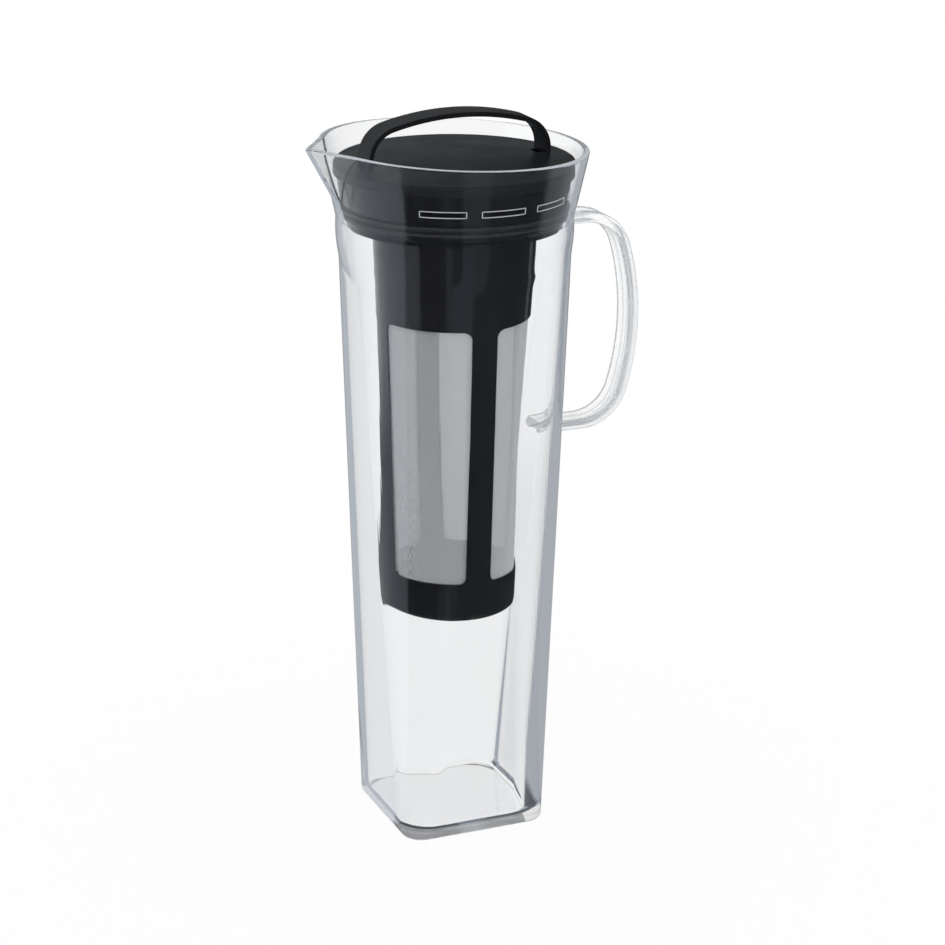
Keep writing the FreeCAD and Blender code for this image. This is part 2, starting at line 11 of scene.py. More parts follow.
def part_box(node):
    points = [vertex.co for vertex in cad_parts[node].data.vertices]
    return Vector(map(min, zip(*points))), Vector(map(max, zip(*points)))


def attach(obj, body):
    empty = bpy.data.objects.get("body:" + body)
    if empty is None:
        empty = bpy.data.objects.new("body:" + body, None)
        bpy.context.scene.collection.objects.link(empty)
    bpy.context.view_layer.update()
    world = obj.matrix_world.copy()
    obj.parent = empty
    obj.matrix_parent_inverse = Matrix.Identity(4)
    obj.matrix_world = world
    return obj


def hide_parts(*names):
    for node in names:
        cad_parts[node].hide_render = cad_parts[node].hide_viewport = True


# Cold brew coffee maker: a clear pitcher, a black strainer lid with a carrying arch, and a black basket with
# cloth mesh.  Metres, +Z up.  The spout points to -X and the pitcher's handle to +X.

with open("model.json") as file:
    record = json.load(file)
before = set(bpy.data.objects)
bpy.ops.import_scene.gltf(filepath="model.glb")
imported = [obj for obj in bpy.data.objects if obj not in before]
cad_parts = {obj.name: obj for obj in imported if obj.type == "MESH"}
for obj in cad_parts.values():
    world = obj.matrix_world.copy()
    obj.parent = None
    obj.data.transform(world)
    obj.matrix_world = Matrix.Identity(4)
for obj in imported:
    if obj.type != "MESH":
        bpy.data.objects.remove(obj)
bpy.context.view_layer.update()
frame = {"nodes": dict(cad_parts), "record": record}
scene = bpy.context.scene
MM = 0.001

# ---------------------------------------------------------------- camera

CAMERA_AZIMUTH = math.radians(-23.31)    # round the pitcher from its front, towards the spout
CAMERA_PITCH = math.radians(19.01)       # looking down
CAMERA_ROLL = math.radians(0.58)
CAMERA_DISTANCE = 1052.32 * MM           # along the ground, from the pitcher's axis
CAMERA_HEIGHT = 507.91 * MM
CAMERA_SIDEWAYS = 7.88 * MM
CAMERA_LENS_MM = 105.94
SENSOR_MM = 36


def link(made):
    scene.collection.objects.link(made)
    return made


def place_camera():
    back = Vector((math.sin(CAMERA_AZIMUTH), -math.cos(CAMERA_AZIMUTH), 0))
    right = Vector((math.cos(CAMERA_AZIMUTH), math.sin(CAMERA_AZIMUTH), 0))
    up = Vector((0, 0, 1))
    away = back * math.cos(CAMERA_PITCH) + up * math.sin(CAMERA_PITCH)
    over = away.cross(right)
    rolled_right = right * math.cos(CAMERA_ROLL) + over * math.sin(CAMERA_ROLL)
    rolled_over = over * math.cos(CAMERA_ROLL) - right * math.sin(CAMERA_ROLL)
    axes = Matrix((rolled_right, rolled_over, away)).transposed().to_4x4()
    place = back * CAMERA_DISTANCE + up * CAMERA_HEIGHT + right * CAMERA_SIDEWAYS
    data = bpy.data.cameras.new("camera")
    data.lens = CAMERA_LENS_MM
    data.sensor_width = SENSOR_MM
    camera = link(bpy.data.objects.new("camera", data))
    camera.matrix_world = Matrix.Translation(place) @ axes
    scene.camera = camera


# ---------------------------------------------------------------- node helpers


def linear(hex_colour):
    """Linear RGBA from an sRGB hex colour."""
    parts = [int(hex_colour[i:i + 2], 16) / 255 for i in (1, 3, 5)]
    return [c / 12.92 if c <= 0.04045 else ((c + 0.055) / 1.055) ** 2.4 for c in parts] + [1.0]


def add(tree, kind, inputs=(), **settings):
    """Adds a node with its settings. Each input is given a value, or the socket that it is linked from."""
    node = tree.nodes.new(kind)
    for name, value in settings.items():
        setattr(node, name, value)
    for name, value in dict(inputs).items():
        if isinstance(value, bpy.types.NodeSocket):
            tree.links.new(value, node.inputs[name])
        else:
            node.inputs[name].default_value = value
    return node


def maths(tree, operation, *values):
    """Output of a Math node. Each value is a number, or the socket that it is linked from."""
    return add(tree, "ShaderNodeMath", enumerate(values), operation=operation).outputs[0]


def new_material(name):
    material = bpy.data.materials.new(name)
    material.use_nodes = True
    material.node_tree.nodes.clear()
    return material, material.node_tree


# ---------------------------------------------------------------- materials

ACRYLIC_IOR = 1.49
POLYPROPYLENE_IOR = 1.49
SILICONE_IOR = 1.41
POLYESTER_IOR = 1.57
CAUGHT_AFTER = 2.5         # light mirrored more often than this is caught in the wall
SEAM_DEPTH = 0.4 * MM      # each side of the wall's outside
LIP_LOW = 270 * MM         # the rim's lip is over this
LIP_MATT = 0.3             # share of it that is matt,
LIP_FROM = 0.4             # where its normal's upright part is over this
LIP_FULL = 0.7             # and fully so over this
FOOT_FACING = -0.99        # a foot's end faces -X, the wall
FOOT_REACH = 9 * MM        # the two feet's ends lie within this of each other, along X
BAR_STRAIGHT = 0.35        # share of the view that goes straight through the handle
NOISE_LOW = 0.3            # most of a noise lies between these
NOISE_HIGH = 0.7
SHEEN_SWING = 0.15         # share by which a sheen drifts


def black_plastic(name, base, fleck, roughness, grain_mm, grain_height_mm):
    """Injection moulded black polypropylene. The eye gets a near-black ground under a cool sheen, soft or
    sharp with the mould's finish, and faint cloudy changes of gloss where the melt cooled unevenly."""
    material, tree = new_material(name)
    place = add(tree, "ShaderNodeTexCoord").outputs["Object"]
    clouds = add(tree, "ShaderNodeTexNoise", {"Vector": place, "Scale": 1 / (18 * MM), "Detail": 3.0})
    sheen = add(tree, "ShaderNodeMapRange", {
        "Value": clouds.outputs["Fac"], "From Min": NOISE_LOW, "From Max": NOISE_HIGH,
        "To Min": roughness * (1 - SHEEN_SWING), "To Max": roughness * (1 + SHEEN_SWING)})
    grain = add(tree, "ShaderNodeTexNoise", {"Vector": place, "Scale": 1 / (grain_mm * MM), "Detail": 2.0})
    tint = add(tree, "ShaderNodeMix", {
        "Factor": grain.outputs["Fac"], "A": linear(base), "B": linear(fleck)}, data_type="RGBA")
    bump = add(tree, "ShaderNodeBump", {
        "Height": grain.outputs["Fac"], "Distance": grain_height_mm * MM, "Strength": 1.0})
    shader = add(tree, "ShaderNodeBsdfPrincipled", {
        "Base Color": tint.outputs["Result"], "Roughness": sheen.outputs["Result"],
        "Normal": bump.outputs["Normal"], "IOR": POLYPROPYLENE_IOR})
    add(tree, "ShaderNodeOutputMaterial", {"Surface": shader.outputs["BSDF"]})
    return material


def inside(tree, value, low, high):
    """Socket that is 1 where the value lies between low and high."""
    above = maths(tree, "GREATER_THAN", value, low)
    below = maths(tree, "LESS_THAN", value, high)
    return maths(tree, "MULTIPLY", above, below)


def clear_acrylic(name, feet, straight_share):
    """Clear acrylic, moulded in a polished tool. The eye gets a clean window with a cool grey in its thick
    edges and a faint coolness that drifts through the wall. Lamps shine through it, so that what it holds is
    lit. The handle's feet are of one melt with the wall, so that nothing is bent or mirrored at the seam
    between them. A share of the view goes straight through, which softens the lines inside a thick bar, and
    so does light that was caught between two faces. The rim's lip is matt."""
    material, tree = new_material(name)
    place = add(tree, "ShaderNodeTexCoord").outputs["Object"]
    drift = add(tree, "ShaderNodeTexNoise", {"Vector": place, "Scale": 1 / (40 * MM), "Detail": 1.0})
    tint = add(tree, "ShaderNodeMix", {
        "Factor": drift.outputs["Fac"], "A": linear("#FFFFFF"), "B": linear("#FDFEFF")}, data_type="RGBA")
    shader = add(tree, "ShaderNodeBsdfPrincipled", {
        "Base Color": tint.outputs["Result"], "Roughness": 0.0, "IOR": ACRYLIC_IOR,
        "Transmission Weight": 1.0})
    through = add(tree, "ShaderNodeBsdfTransparent", {"Color": linear("#FFFFFF")})
    at = add(tree, "ShaderNodeSeparateXYZ", {"Vector": place}).outputs
    seam = 0.0
    for wall, lean, middle, half_wide, low, high in feet:
        rise = maths(tree, "ADD", at["Z"], -middle)
        out = maths(tree, "MULTIPLY_ADD", rise, -lean, at["X"])
        near = inside(tree, out, wall - SEAM_DEPTH, wall + SEAM_DEPTH)
        wide = inside(tree, at["Y"], -half_wide, half_wide)
        tall = inside(tree, at["Z"], low, high)
        patch = maths(tree, "MULTIPLY", near, wide)
        seam = maths(tree, "MULTIPLY_ADD", patch, tall, seam)
    ray = add(tree, "ShaderNodeLightPath").outputs
    straight = maths(tree, "MAXIMUM", ray["Is Shadow Ray"], ray["Is Diffuse Ray"])
    straight = maths(tree, "MAXIMUM", straight, seam)
    straight = maths(tree, "MAXIMUM", straight, straight_share)
    caught = maths(tree, "GREATER_THAN", ray["Glossy Depth"], CAUGHT_AFTER)
    straight = maths(tree, "MAXIMUM", straight, caught)
    normal = add(tree, "ShaderNodeNewGeometry").outputs["Normal"]
    upright = add(tree, "ShaderNodeSeparateXYZ", {"Vector": normal}).outputs["Z"]
    level = add(tree, "ShaderNodeMapRange", {
        "Value": maths(tree, "ABSOLUTE", upright), "From Min": LIP_FROM, "From Max": LIP_FULL})
    high = maths(tree, "GREATER_THAN", at["Z"], LIP_LOW)
    matt = maths(tree, "MULTIPLY", level.outputs["Result"], high)
    matt = maths(tree, "MULTIPLY", matt, LIP_MATT)
    frost = add(tree, "ShaderNodeBsdfDiffuse", {"Color": linear("#F0F4F8")})
    body = add(tree, "ShaderNodeMixShader", {0: matt, 1: shader.outputs["BSDF"], 2: frost.outputs["BSDF"]})
    both = add(tree, "ShaderNodeMixShader", {
        0: straight, 1: body.outputs["Shader"], 2: through.outputs["BSDF"]})
    add(tree, "ShaderNodeOutputMaterial", {"Surface": both.outputs["Shader"]})
    return material


def handle_feet():
    """For each foot of the pitcher's handle: where its end lies on the wall, how the wall leans there, the
    foot's middle height, half its width, and its lowest and highest point."""
    mesh = frame["nodes"]["pitcher_handle"].data
    ends = [face for face in mesh.polygons if face.normal.x < FOOT_FACING]
    wall = min(face.center.x for face in ends)
    ends = [face for face in ends if face.center.x < wall + FOOT_REACH]
    divide = (min(face.center.z for face in ends) + max(face.center.z for face in ends)) / 2
    feet = []
    for above in (False, True):
        foot = [face for face in ends if (face.center.z > divide) == above]
        points = [mesh.vertices[index].co for face in foot for index in face.vertices]
        area = sum(face.area for face in foot)
        middle = sum((face.center * face.area for face in foot), Vector()) / area
        normal = sum((face.normal * face.area for face in foot), Vector()) / area
        feet.append((
            middle.x, -normal.z / normal.x, middle.z, max(point.y for point in points),
            min(point.z for point in points), max(point.z for point in points)))
    return feet


def seal_silicone():
    """Black silicone rubber, moulded. The eye gets a soft grey sheen with no clear reflection."""
    material, tree = new_material("seal_silicone")
    place = add(tree, "ShaderNodeTexCoord").outputs["Object"]
    dust = add(tree, "ShaderNodeTexNoise", {"Vector": place, "Scale": 1 / (2 * MM), "Detail": 4.0})
    tint = add(tree, "ShaderNodeMix", {
        "Factor": dust.outputs["Fac"], "A": linear("#1E1F21"), "B": linear("#34363A")}, data_type="RGBA")
    shader = add(tree, "ShaderNodeBsdfPrincipled", {
        "Base Color": tint.outputs["Result"], "Roughness": 0.42, "IOR": SILICONE_IOR})
    add(tree, "ShaderNodeOutputMaterial", {"Surface": shader.outputs["BSDF"]})
    return material


def woven_polyester():
    """Polyester monofilament, woven fine. The eye gets a grey veil, darker where a rib stands behind it and
    paler where light comes through from the other side of the basket."""
    material, tree = new_material("woven_polyester")
    place = add(tree, "ShaderNodeTexCoord").outputs["Object"]
    slub = add(tree, "ShaderNodeTexNoise", {"Vector": place, "Scale": 1 / (6 * MM), "Detail": 3.0})
    tint = add(tree, "ShaderNodeMix", {
        "Factor": slub.outputs["Fac"], "A": linear("#DCDFE3"), "B": linear("#E6E8EA")}, data_type="RGBA")
    shader = add(tree, "ShaderNodeBsdfPrincipled", {
        "Base Color": tint.outputs["Result"], "Roughness": 0.45, "IOR": POLYESTER_IOR})
    add(tree, "ShaderNodeOutputMaterial", {"Surface": shader.outputs["BSDF"]})
    return material


def painted_highlight_lip():
    """Pale grey on the thin lips at the edge of the strainer slots: a painted highlight for the light that
    their edges catch, with a random swing in its tone. The eye gets a thin dull-white line."""
    material, tree = new_material("painted_highlight_lip")
    place = add(tree, "ShaderNodeTexCoord").outputs["Object"]
    # random swing in the tone of the painted highlight
    highlight_swing = add(tree, "ShaderNodeTexNoise", {"Vector": place, "Scale": 1 / (4 * MM), "Detail": 3.0})
    tint = add(tree, "ShaderNodeMix", {
        "Factor": highlight_swing.outputs["Fac"], "A": linear("#A9ACAE"), "B": linear("#DADCDD")}, data_type="RGBA")
    shader = add(tree, "ShaderNodeBsdfPrincipled", {
        "Base Color": tint.outputs["Result"], "Roughness": 0.5, "IOR": POLYPROPYLENE_IOR})
    add(tree, "ShaderNodeOutputMaterial", {"Surface": shader.outputs["BSDF"]})
    return material


# ---------------------------------------------------------------- patterns on the cones

THREAD_SIDES = 3
LIP_SIDES = 6
LIP_POINTS = 64          # round each slot
ALONG_WITHIN = 1e-7      # an edge of a flat grid that spans less than this along an axis runs across it
END_REACH = 0.2 * MM     # what is nearer than this to the end of a cone belongs to it


def named_inputs(tree, **kinds):
    """Gives a geometry tree its named inputs and its one output, and returns the node with the inputs."""
    for name, kind in kinds.items():
        tree.interface.new_socket(name, in_out="INPUT", socket_type=kind)
    tree.interface.new_socket("Geometry", in_out="OUTPUT", socket_type="NodeSocketGeometry")
    return add(tree, "NodeGroupInput")


def wrap_on_cone():
    """Group that lays a flat pattern on a cone: x is the angle round it, y the share of its height, and z
    stands out from it."""
    tree = bpy.data.node_groups.new("wrap_on_cone", "GeometryNodeTree")
    given = named_inputs(
        tree, Pattern="NodeSocketGeometry", Low_radius="NodeSocketFloat", Top_radius="NodeSocketFloat",
        Low_height="NodeSocketFloat", Top_height="NodeSocketFloat", Turn="NodeSocketFloat").outputs
    flat = add(tree, "GeometryNodeInputPosition").outputs["Position"]
    flat = add(tree, "ShaderNodeSeparateXYZ", {"Vector": flat}).outputs
    radius = add(tree, "ShaderNodeMapRange", {
        "Value": flat["Y"], "To Min": given["Low_radius"], "To Max": given["Top_radius"]}, clamp=False)
    height = add(tree, "ShaderNodeMapRange", {
        "Value": flat["Y"], "To Min": given["Low_height"], "To Max": given["Top_height"]}, clamp=False)
    out = maths(tree, "ADD", radius.outputs[0], flat["Z"])
    angle = maths(tree, "ADD", flat["X"], given["Turn"])
    spoke = add(tree, "ShaderNodeCombineXYZ", {"X": out, "Z": height.outputs[0]})
    turned = add(tree, "ShaderNodeVectorRotate", {
        "Vector": spoke.outputs[0], "Angle": angle}, rotation_type="Z_AXIS")
    moved = add(tree, "GeometryNodeSetPosition", {
        "Geometry": given["Pattern"], "Position": turned.outputs[0]})
    add(tree, "NodeGroupOutput", {"Geometry": moved.outputs["Geometry"]})
    return tree


def cloth_panel(wrap):
    """Tree for one panel of cloth: the edges of two grids, one kept as level threads and one as upright
    threads that lie against them, on the inside."""
    tree = bpy.data.node_groups.new("cloth_panel", "GeometryNodeTree")
    given = named_inputs(
        tree, Low_radius="NodeSocketFloat", Top_radius="NodeSocketFloat", Low_height="NodeSocketFloat",
        Top_height="NodeSocketFloat", Turn="NodeSocketFloat", Arc="NodeSocketFloat", Bends="NodeSocketInt",
        Columns="NodeSocketInt", Rows="NodeSocketInt", Thread_radius="NodeSocketFloat",
        Material="NodeSocketMaterial").outputs
    section = add(tree, "GeometryNodeCurvePrimitiveCircle", {
        "Resolution": THREAD_SIDES, "Radius": given["Thread_radius"]})
    one_thread_in = maths(tree, "MULTIPLY", given["Thread_radius"], -2.0)
    ends = add(tree, "GeometryNodeInputMeshEdgeVertices").outputs
    span = add(tree, "ShaderNodeVectorMath", {
        0: ends["Position 1"], 1: ends["Position 2"]}, operation="SUBTRACT")
    span = add(tree, "ShaderNodeSeparateXYZ", {"Vector": span.outputs[0]}).outputs
    threads = add(tree, "GeometryNodeJoinGeometry")
    for across, columns, rows, stands in (
            ("X", given["Bends"], given["Rows"], 0.0), ("Y", given["Columns"], 2, one_thread_in)):
        grid = add(tree, "GeometryNodeMeshGrid", {
            "Size X": given["Arc"], "Size Y": 1.0, "Vertices X": columns, "Vertices Y": rows})
        other_way = maths(tree, "COMPARE", span[across], 0.0, ALONG_WITHIN)
        lines = add(tree, "GeometryNodeDeleteGeometry", {
            "Geometry": grid.outputs["Mesh"], "Selection": other_way}, domain="EDGE", mode="EDGE_FACE")
        shift = add(tree, "ShaderNodeCombineXYZ", {"Y": 0.5, "Z": stands})
        level = add(tree, "GeometryNodeSetPosition", {
            "Geometry": lines.outputs["Geometry"], "Offset": shift.outputs[0]})
        laid = add(tree, "GeometryNodeGroup", node_tree=wrap)
        tree.links.new(level.outputs["Geometry"], laid.inputs["Pattern"])
        for name in ("Low_radius", "Top_radius", "Low_height", "Top_height", "Turn"):
            tree.links.new(given[name], laid.inputs[name])
        curves = add(tree, "GeometryNodeMeshToCurve", {"Mesh": laid.outputs["Geometry"]})
        solid = add(tree, "GeometryNodeCurveToMesh", {
            "Curve": curves.outputs["Curve"], "Profile Curve": section.outputs["Curve"], "Fill Caps": True})
        tree.links.new(solid.outputs["Mesh"], threads.inputs["Geometry"])
    real = add(tree, "GeometryNodeRealizeInstances", {"Geometry": threads.outputs["Geometry"]})
    done = add(tree, "GeometryNodeSetMaterial", {
        "Geometry": real.outputs["Geometry"], "Material": given["Material"]})
    add(tree, "NodeGroupOutput", {"Geometry": done.outputs["Geometry"]})
    return tree


def slot_lips(wrap):
    """Tree for the thin lips round the strainer slots: one outline, repeated round the skirt."""
    tree = bpy.data.node_groups.new("slot_lips", "GeometryNodeTree")
    given = named_inputs(
        tree, Low_radius="NodeSocketFloat", Top_radius="NodeSocketFloat", Low_height="NodeSocketFloat",
        Top_height="NodeSocketFloat", Turn="NodeSocketFloat", Count="NodeSocketInt", Pitch="NodeSocketFloat",
        Arc="NodeSocketFloat", Tall_share="NodeSocketFloat", Middle_share="NodeSocketFloat",
        Lip_radius="NodeSocketFloat", Material="NodeSocketMaterial").outputs
    outline = add(tree, "GeometryNodeCurvePrimitiveQuadrilateral", {
        "Width": given["Arc"], "Height": given["Tall_share"]})
    spacing = add(tree, "ShaderNodeCombineXYZ", {"X": given["Pitch"]})
    start = add(tree, "ShaderNodeCombineXYZ", {"Y": given["Middle_share"]})
    places = add(tree, "GeometryNodeMeshLine", {
        "Count": given["Count"], "Start Location": start.outputs[0], "Offset": spacing.outputs[0]})
    repeated = add(tree, "GeometryNodeInstanceOnPoints", {
        "Points": places.outputs["Mesh"], "Instance": outline.outputs["Curve"]})
    real = add(tree, "GeometryNodeRealizeInstances", {"Geometry": repeated.outputs["Instances"]})
    fine = add(tree, "GeometryNodeResampleCurve", {"Curve": real.outputs["Geometry"], "Count": LIP_POINTS})
    laid = add(tree, "GeometryNodeGroup", node_tree=wrap)
    tree.links.new(fine.outputs["Curve"], laid.inputs["Pattern"])
    for name in ("Low_radius", "Top_radius", "Low_height", "Top_height", "Turn"):
        tree.links.new(given[name], laid.inputs[name])
    section = add(tree, "GeometryNodeCurvePrimitiveCircle", {
        "Resolution": LIP_SIDES, "Radius": given["Lip_radius"]})
    solid = add(tree, "GeometryNodeCurveToMesh", {
        "Curve": laid.outputs["Geometry"], "Profile Curve": section.outputs["Curve"]})
    real = add(tree, "GeometryNodeRealizeInstances", {"Geometry": solid.outputs["Mesh"]})
    done = add(tree, "GeometryNodeSetMaterial", {
        "Geometry": real.outputs["Geometry"], "Material": given["Material"]})
    add(tree, "NodeGroupOutput", {"Geometry": done.outputs["Geometry"]})
    return tree


def grown(name, tree, material, **values):
    """Plain mesh object from a geometry tree with the values of its named inputs."""
    seed = link(bpy.data.objects.new(name, bpy.data.meshes.new(name)))
    modifier = seed.modifiers.new(name, "NODES")
    modifier.node_group = tree
    sockets = {item.name: item.identifier for item in tree.interface.items_tree if item.in_out == "INPUT"}
    for key, value in values.items():
        modifier[sockets[key]] = value
    modifier[sockets["Material"]] = material
    bpy.context.view_layer.update()
    whole = seed.evaluated_get(bpy.context.evaluated_depsgraph_get())
    mesh = bpy.data.meshes.new_from_object(whole)
    seed.modifiers.clear()
    seed.data = mesh
    mesh.shade_smooth()
    return seed


def cone_of(node):
    """Radius at the bottom and the top of a node that follows a cone, and those two heights."""
    points = [vertex.co for vertex in frame["nodes"][node].data.vertices]
    low = min(point.z for point in points)
    top = max(point.z for point in points)
    low_radius = max(math.hypot(point.x, point.y) for point in points if point.z < low + END_REACH)
    top_radius = max(math.hypot(point.x, point.y) for point in points if point.z > top - END_REACH)
    return low_radius, top_radius, low, top


# ---------------------------------------------------------------- pieces

WALL_LOW = 7.5 * MM            # the pitcher's walls are straight from here, over the rounding at the floor,
WALL_TOP = 228 * MM            # to here, where the round shoulder begins
SHOULDER_TOP = 250.5 * MM      # just under the neck
SHOULDER_STEP = 0.75 * MM
SHOULDER_COLUMNS = 240
INTO_WALL = 0.5 * MM           # from the inside of the wall, a little way to its outside
EVEN_SHARES = (0.1, 0.2, 0.4, 0.2, 0.1)
EVEN_ROUNDS = 2
CORNER_STEPS = 24              # strips round each corner

FRONT_SPACING = 0.13 * MM      # from thread to thread.  One cloth is seen through the other, and the two are
BACK_SPACING = 0.095 * MM      # drawn unlike, so that they don't beat against each other in broad waves
THREAD_SHARE = 0.24            # a thread's radius, as a share of the spacing
THREAD_BENDS = 15              # points along a level thread
CLOTH_ARC = math.radians(74)   # the cloth runs a little way into the ribs, the sleeve and the foot
CLOTH_MARGIN = 1.2 * MM
CLOTH_INSET = 0.3 * MM         # panel's outside to the middle of the cloth

SLOT_COUNT = 9
SLOT_PITCH = math.radians(30)
SLOT_ARC = math.radians(23.0)
SLOT_TURN = math.radians(1.5)
SLOT_TALL = 2.7 * MM
SLOT_MIDDLE = 7.1 * MM         # below the top of the skirt
SKIRT_TAPER = 1.6 * MM         # the skirt's radius at its top, less its radius where the seal begins
LIP_RADIUS = 0.2 * MM


def clipped(corners, height, above):
    """Part of a face above or below a height. A corner is a place with its normal."""
    kept = []
    for (place, normal), (before, normal_before) in zip(corners, corners[-1:] + corners[:-1]):
        stays = (place.z > height) == above
        if stays != ((before.z > height) == above):
            share = (height - before.z) / (place.z - before.z)
            kept.append((before.lerp(place, share), normal_before.lerp(normal, share)))
        if stays:
            kept.append((place, normal))
    return kept


def section_of(mesh, height, outward):
    """Half the side and the corner radius of the rounded square that the wall's outside or inside has at a
    height."""
    points = []
    for face in mesh.polygons:
        if (face.normal.x * face.center.x + face.normal.y * face.center.y > 0) == outward:
            corners = [mesh.vertices[index].co for index in face.vertices]
            for place, before in zip(corners, corners[-1:] + corners[:-1]):
                if (place.z > height) != (before.z > height):
                    points.append(before.lerp(place, (height - before.z) / (place.z - before.z)))
    half = max(abs(point.y) for point in points)
    diagonal = max(abs(point.x) + abs(point.y) for point in points) * math.sqrt(0.5)
    return half, (math.sqrt(2) * half - diagonal) / (math.sqrt(2) - 1)


def ring_of(half, radius, height):
    """Points round a rounded square, each with the level direction that the wall faces there."""
    ring = []
    for turn in range(4):
        middle = math.radians(90 * turn + 45)
        centre = Vector((math.cos(middle), math.sin(middle), 0)) * (half - radius) * math.sqrt(2)
        centre.z = height
        for step in range(CORNER_STEPS + 1):
            angle = math.radians(90 * (turn + step / CORNER_STEPS))
            towards = Vector((math.cos(angle), math.sin(angle), 0))
            ring.append((centre + towards * radius, towards))
    return ring


def straight_wall(mesh, outward):
    """Strips for the straight part of the wall, from its foot to the shoulder."""
    low = ring_of(*section_of(mesh, WALL_LOW, outward), WALL_LOW)
    top = ring_of(*section_of(mesh, WALL_TOP, outward), WALL_TOP)
    rulings = []
    for (foot, towards), (head, _) in zip(low, top):
        lean = (head - foot).dot(towards) / (WALL_TOP - WALL_LOW)
        normal = Vector((towards.x, towards.y, -lean)).normalized()
        rulings.append((foot, head, normal if outward else -normal))
    faces = []
    for before, after in zip(rulings, rulings[1:] + rulings[:1]):
        face = [(before[0], before[2]), (after[0], after[2]), (after[1], after[2]), (before[1], before[2])]
        faces.append(face if outward else face[::-1])
    return faces


def evened(radii):
    """The radii with each averaged over its neighbours, up and down and round the axis."""
    rows = len(radii)
    reach = len(EVEN_SHARES) // 2
    for _ in range(EVEN_ROUNDS):
        padded = np.pad(radii, ((reach, reach), (0, 0)), mode="reflect", reflect_type="odd")
        radii = sum(padded[row:row + rows] * share for row, share in enumerate(EVEN_SHARES))
        radii = sum(np.roll(radii, turn - reach, axis=1) * share for turn, share in enumerate(EVEN_SHARES))
    return radii


def shoulder_wall(mesh):
    """The wall between its straight part and the neck, as an even grid laid on the CAD body's inside and
    outside. The line where the round shoulder meets the flats is evened out."""
    tree = BVHTree.FromPolygons(
        [vertex.co for vertex in mesh.vertices], [list(face.vertices) for face in mesh.polygons])
    rows = round((SHOULDER_TOP - WALL_TOP) / SHOULDER_STEP) + 1
    heights = [WALL_TOP + SHOULDER_STEP * row for row in range(rows)]
    angles = [2 * math.pi * column / SHOULDER_COLUMNS for column in range(SHOULDER_COLUMNS)]
    spokes = [Vector((math.cos(angle), math.sin(angle), 0)) for angle in angles]
    found = np.zeros((2, rows, SHOULDER_COLUMNS))
    for row, height in enumerate(heights):
        for column, spoke in enumerate(spokes):
            within = tree.ray_cast(Vector((0, 0, height)), spoke)[0]
            outer = tree.ray_cast(within + spoke * INTO_WALL, spoke)[0]
            found[:, row, column] = math.hypot(within.x, within.y), math.hypot(outer.x, outer.y)
    faces = []
    for outward, radii in zip((False, True), found):
        radii = evened(radii)
        leans = np.gradient(radii, SHOULDER_STEP, axis=0)
        swings = (np.roll(radii, -1, axis=1) - np.roll(radii, 1, axis=1)) / (2 * angles[1]) / radii
        grid = []
        for row, height in enumerate(heights):
            line = []
            for column, spoke in enumerate(spokes):
                around = Vector((-spoke.y, spoke.x, 0))
                normal = spoke - around * swings[row, column] - Vector((0, 0, leans[row, column]))
                place = spoke * radii[row, column] + Vector((0, 0, height))
                line.append((place, normal if outward else -normal))
            grid.append(line)
        for low, top in zip(grid, grid[1:]):
            for column in range(SHOULDER_COLUMNS):
                face = [low[column - 1], low[column], top[column], top[column - 1]]
                faces.append(face if outward else face[::-1])
    return faces


def make_clear_wall(material):
    """The pitcher's body with the straight part of its wall drawn in strips that run from the foot to the
    shoulder, and the shoulder as a grid, so that the clear wall bends light evenly all the way up."""
    source = frame["nodes"]["pitcher_body"].data
    faces = straight_wall(source, True) + straight_wall(source, False) + shoulder_wall(source)
    for face in source.polygons:
        corners = [
            (source.vertices[source.loops[index].vertex_index].co, source.corner_normals[index].vector)
            for index in face.loop_indices]
        faces += [clipped(corners, WALL_LOW, False), clipped(corners, SHOULDER_TOP, True)]
    places = {}
    drawn = []
    normals = []
    for face in faces:
        corners = []
        for place, normal in face:
            index = places.setdefault(tuple(round(value, 8) for value in place), len(places))
            if index not in [known for known, _ in corners]:
                corners.append((index, normal))
        if len(corners) > 2:
            drawn.append([index for index, _ in corners])
            normals += [normal.normalized() for _, normal in corners]
    mesh = bpy.data.meshes.new("clear_wall")
    mesh.from_pydata(list(places), [], drawn)
    mesh.shade_smooth()
    mesh.normals_split_custom_set(normals)
    mesh.materials.append(material)
    piece = link(bpy.data.objects.new("clear_wall", mesh))
    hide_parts("pitcher_body")
    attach(piece, "pitcher")


def make_cloth(wrap, material):
    tree = cloth_panel(wrap)
    for index, corner in enumerate(("back_right", "back_left", "front_left", "front_right")):
        node = "mesh_" + corner
        low_radius, top_radius, low, top = cone_of(node)
        slope = (top_radius - low_radius) / (top - low)
        spacing = FRONT_SPACING if corner.startswith("front") else BACK_SPACING
        rise = top - low + 2 * CLOTH_MARGIN
        piece = grown(
            "cloth_" + corner, tree, material,
            Low_radius=low_radius - slope * CLOTH_MARGIN - CLOTH_INSET,
            Top_radius=top_radius + slope * CLOTH_MARGIN - CLOTH_INSET,
            Low_height=low - CLOTH_MARGIN, Top_height=top + CLOTH_MARGIN,
            Turn=math.radians(90 * index + 45), Arc=CLOTH_ARC, Bends=THREAD_BENDS,
            Columns=round(CLOTH_ARC * top_radius / spacing), Rows=round(rise / spacing),
            Thread_radius=spacing * THREAD_SHARE)
        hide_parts(node)
        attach(piece, "filter")


